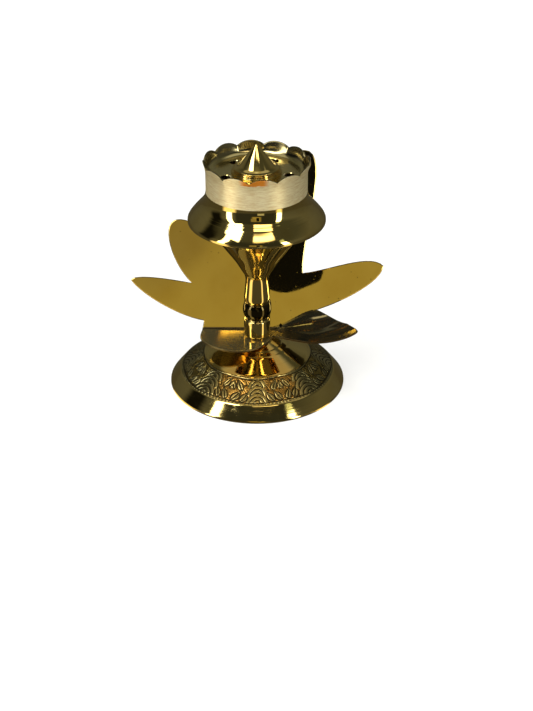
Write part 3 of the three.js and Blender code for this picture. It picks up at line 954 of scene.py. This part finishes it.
def make_finial():
    """Cone with a rounded shoulder and a blunt tip, and a threaded spigot below."""
    base = COLLAR_TOP
    edge = CONE_RADIUS
    thread_start, thread_end = SPIGOT_END + 0.5, base - 1.2
    shoulder = [(edge - 0.35, base + 0.5), (edge - 1.1, base + 0.65), (edge - 1.9, base + 1.2)]
    outline = rounded(
        [
            (0, SPIGOT_END),
            (SCREW_RADIUS - 0.45, SPIGOT_END, 0.1),
            *threaded(thread_start, thread_end),
            (SCREW_RADIUS - 0.3, base - 1.0),
            (SCREW_RADIUS - 0.3, base, 0.1),
            (edge - 0.25, base, 0.15),
            (edge, base + 0.3, 0.15),
            *curve(shoulder, 8),
            (0.85, APEX - 0.65, 0.3),
            (0.4, APEX - 0.12, 0.15),
            (0, APEX),
        ],
        4,
    )
    return revolve("cone_turning", outline, 120, thread(thread_start, thread_end), closed=False)


# ---------- fastening under the foot ----------


def make_stud():
    """Rod threaded over nearly its whole length, with a blunt end."""
    thread_start, thread_end = STUD_END + 0.5, STUD_TOP - 0.3
    outline = [
        (0, STUD_END),
        (SCREW_RADIUS - 0.45, STUD_END),
        *threaded(thread_start, thread_end),
        (SCREW_RADIUS - 0.3, STUD_TOP),
        (0, STUD_TOP),
    ]
    return revolve("stud_rod", outline, 72, thread(thread_start, thread_end), closed=False)


def make_washer():
    """Plain ring with slightly rounded corners."""
    corners = [
        (BORE_RADIUS, WASHER_TOP, 0.12),
        (BORE_RADIUS, WASHER_FOOT, 0.12),
        (WASHER_RADIUS, WASHER_FOOT, 0.12),
        (WASHER_RADIUS, WASHER_TOP, 0.12),
    ]
    return revolve("washer_ring", rounded(corners, 3), 96)


def make_nut():
    """Hexagon with its corners chamfered top and bottom."""
    chamfer = 0.45
    lead_in = 0.25
    outline = [(BORE_RADIUS + lead_in, NUT_TOP), (BORE_RADIUS, NUT_TOP - lead_in)]
    outline += [(BORE_RADIUS, NUT_FOOT + lead_in), (BORE_RADIUS + lead_in, NUT_FOOT)]
    outline += [(NUT_CORNER * 0.8, NUT_FOOT)]
    outline += [(NUT_CORNER, z) for z in np.linspace(NUT_FOOT + chamfer, NUT_TOP - chamfer, 4)]
    outline += [(NUT_CORNER * 0.8, NUT_TOP)]

    def hexagon(radius, height, angle):
        to_flat = NUT_CORNER * math.cos(math.pi / 6) / np.cos(angle % (math.pi / 3) - math.pi / 6)
        return np.where(radius > BORE_RADIUS + 0.5, np.minimum(radius, to_flat), radius), height

    return revolve("hex_nut", outline, 96, hexagon)


# ---------- assembly ----------


def assemble():
    polished = turned_brass("polished_brass")
    fastener = screw_brass("fastener_brass")
    plan = [
        (make_foot(), "foot", "base", turned_brass("cast_brass", 0.06, 0.010, chased=True), "cast_brass"),
        (make_leaf(), "leaf_plate", "leaf", sheet_brass("sheet_brass"), "sheet_brass"),
        (make_stem(), "stem", "column", turned_brass("stem_brass", painted_dark_bead=BEAD), "turned_brass"),
        (make_stud(), "foot_stud", "column", fastener, "fastener_brass"),
        (make_cup(), "cup", "bowl", cup_brass("satin_brass"), "satin_brass"),
        (make_collar(), "finial_collar", "collar", polished, "turned_brass"),
        (make_finial(), "cone_finial", "finial", polished, "turned_brass"),
        (make_washer(), "foot_washer", "washer", fastener, "fastener_brass"),
        (make_nut(), "foot_nut", "nut", fastener, "fastener_brass"),
    ]
    for piece, node, body, material, slot in plan:
        piece.data.materials.clear()
        piece.data.materials.append(material)
        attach(piece, body)
        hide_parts(node)


# ---------- studio ----------


def make_sheet(name, corners, material):
    """A flat staging object that isn't part of the stand."""
    work = bmesh.new()
    work.faces.new([work.verts.new(Vector(corner) * MM) for corner in corners])
    mesh = bpy.data.meshes.new(name)
    work.to_mesh(mesh)
    work.free()
    mesh.materials.append(material)
    sheet = bpy.data.objects.new(name, mesh)
    bpy.context.scene.collection.objects.link(sheet)
    return sheet


def make_floor():
    """Pale to the camera. In reflections it is a darker table top that glows in two patches of painted light,
    where windows would light it.
    """
    pale = Finish("pale_floor", metallic=0.0)
    x, y, _ = pale.split(pale.place)
    azimuth = pale.azimuth(x, y)
    # two patches of painted light on the table, seen only in reflections
    lit = pale.maths("ADD", pale.window(azimuth, -74, -46, 5), pale.window(azimuth, 43, 55, 3))
    table = pale.mix(lit, (0.07, 0.065, 0.045, 1), (1.6, 1.35, 0.8, 1))
    glow = pale.node("ShaderNodeEmission", {"Color": table})
    white = pale.node("ShaderNodeEmission", {"Color": (1, 1, 1, 1)})
    pale.shade(Base_Color=(0.9, 0.9, 0.89, 1), Roughness=0.9)
    seen = pale.node("ShaderNodeMixShader", {0: 0.55, 1: pale.shader.outputs[0], 2: white.outputs[0]})
    to_camera = pale.node("ShaderNodeLightPath").outputs["Is Camera Ray"]
    both = pale.node("ShaderNodeMixShader", {0: to_camera, 1: glow.outputs[0], 2: seen.outputs[0]})
    pale.feed(pale.tree.nodes["Material Output"].inputs["Surface"], both.outputs[0])
    reach = 4000
    corners = [(-reach, -reach, 0), (reach, -reach, 0), (reach, reach, 0), (-reach, reach, 0)]
    make_sheet("floor", corners, pale.material)


def make_soft_light(name, place, size, energy):
    """A broad light that falls on the floor and on satin brass, but is not seen in polished brass."""
    light = bpy.data.lights.new(name, "AREA")
    light.size = size
    light.energy = energy
    lamp = bpy.data.objects.new(name, light)
    lamp.location = place
    lamp.rotation_mode = "QUATERNION"
    lamp.rotation_quaternion = Vector(place).to_track_quat("Z", "Y")
    lamp.visible_glossy = False
    bpy.context.scene.collection.objects.link(lamp)


CAMERA_PLACE = (3.2, -433.8, 259.3)
ROOM_BY_HEIGHT = [  # elevation in degrees, light
    (-5, (0.08, 0.078, 0.055)),
    (8, (0.09, 0.09, 0.07)),
    (25, (0.11, 0.11, 0.085)),
    (40, (0.06, 0.062, 0.045)),
    (62, (0.06, 0.062, 0.045)),
    (74, (0.30, 0.28, 0.17)),
    (82, (0.46, 0.42, 0.25)),
    (90, (0.46, 0.42, 0.25)),
]
ROOM_PATCHES = [
    # azimuth from, to, elevation from, to, softness in degrees, light
    (-46, 44, -30, 49, 4.0, (0.030, 0.032, 0.026)),  # dim behind the camera, but for a warm wall
    (-9, 9, 13, 33, 3.0, (0.38, 0.31, 0.095)),
    (-12, -2, 21, 33, 1.5, (0.28, 0.23, 0.09)),
    (-106, -80, 8, 40, 6.0, (0.006, 0.006, 0.004)),  # a dark corner
    (-150, -78, 52, 80, 4.0, (0.40, 0.39, 0.32)),  # pale walls at the sides
    (78, 150, 52, 80, 4.0, (0.40, 0.39, 0.32)),
    (-72, -36, 47, 66, 1.5, (6.0, 6.0, 5.4)),  # two windows high up
    (-7, 39, 51, 58, 2.5, (4.0, 3.4, 2.3)),
    (-66, -54, 0, 52, 1.5, (6.0, 6.0, 5.4)),  # a tall one at the left
    (44, 54, 0, 38, 1.5, (8.0, 8.2, 7.2)),  # and a narrow one at the right
    (46, 54, 38, 46, 1.5, (0.8, 0.9, 0.6)),
    (2, 16, -4, 6, 1.0, (0.5, 0.5, 0.4)),
]


def make_room():
    """What the brass reflects: a dim room by height, a warm wall, a dark corner and bright windows.

    Azimuth 0 is behind the camera and positive azimuths are to the viewer's right, in degrees."""
    world = bpy.data.worlds.new("room")
    bpy.context.scene.world = world
    room = Tree(world)
    x, y, z = room.split(room.node("ShaderNodeTexCoord").outputs["Generated"])
    azimuth = room.azimuth(x, y)
    elevation = room.maths("ARCSINE", z)
    from_below = room.maths("MULTIPLY_ADD", elevation, 1 / math.pi, 0.5)
    ramp = room.node("ShaderNodeValToRGB", {"Fac": from_below})
    stops = ramp.color_ramp.elements
    for height, light in ROOM_BY_HEIGHT:
        stop = stops.new((height + 90) / 180)
        stop.color = (*light, 1)
    stops.remove(stops[0])
    colour = ramp.outputs["Color"]
    for start, end, low, high, soft, light in ROOM_PATCHES:
        inside = room.times(room.window(azimuth, start, end, soft), room.window(elevation, low, high, soft))
        colour = room.mix(inside, colour, (*light, 1))
    room.feed(room.tree.nodes["Background"].inputs["Color"], colour)


def make_camera_body():
    """The dark camera itself, seen only as its reflection in the flat of the leaf."""
    low, high, left, right = 197, 312, -3, 42
    corners = rounded([(left, low, 12), (right, low + 3, 3), (right, high, 3), (left, high, 3)], 6)
    black = Finish("camera_black", metallic=0.0)
    black.shade(Base_Color=(0.003, 0.003, 0.003, 1), Roughness=0.8)
    behind_lens = CAMERA_PLACE[1] - 0.2
    body = make_sheet("camera_body", [(x, behind_lens, z) for x, z in corners], black.material)
    body.visible_camera = False
    body.visible_diffuse = False
    body.visible_shadow = False


def make_camera():
    """Just above the stand and in front of it, as a product photograph is taken."""
    camera = bpy.data.cameras.new("camera")
    camera.sensor_width = 36
    camera.lens = 73.4
    holder = bpy.data.objects.new("camera", camera)
    holder.location = Vector(CAMERA_PLACE) * MM
    holder.rotation_euler = (math.radians(60), 0, 0)
    bpy.context.scene.collection.objects.link(holder)
    bpy.context.scene.camera = holder


assemble()
make_floor()
make_soft_light("overhead", (-0.2, 0.1, 1.2), 0.9, 14)
make_soft_light("fill", (0.1, -1.1, 0.5), 1.6, 14)
make_room()
make_camera_body()
make_camera()
bpy.context.scene.view_settings.view_transform = "Standard"
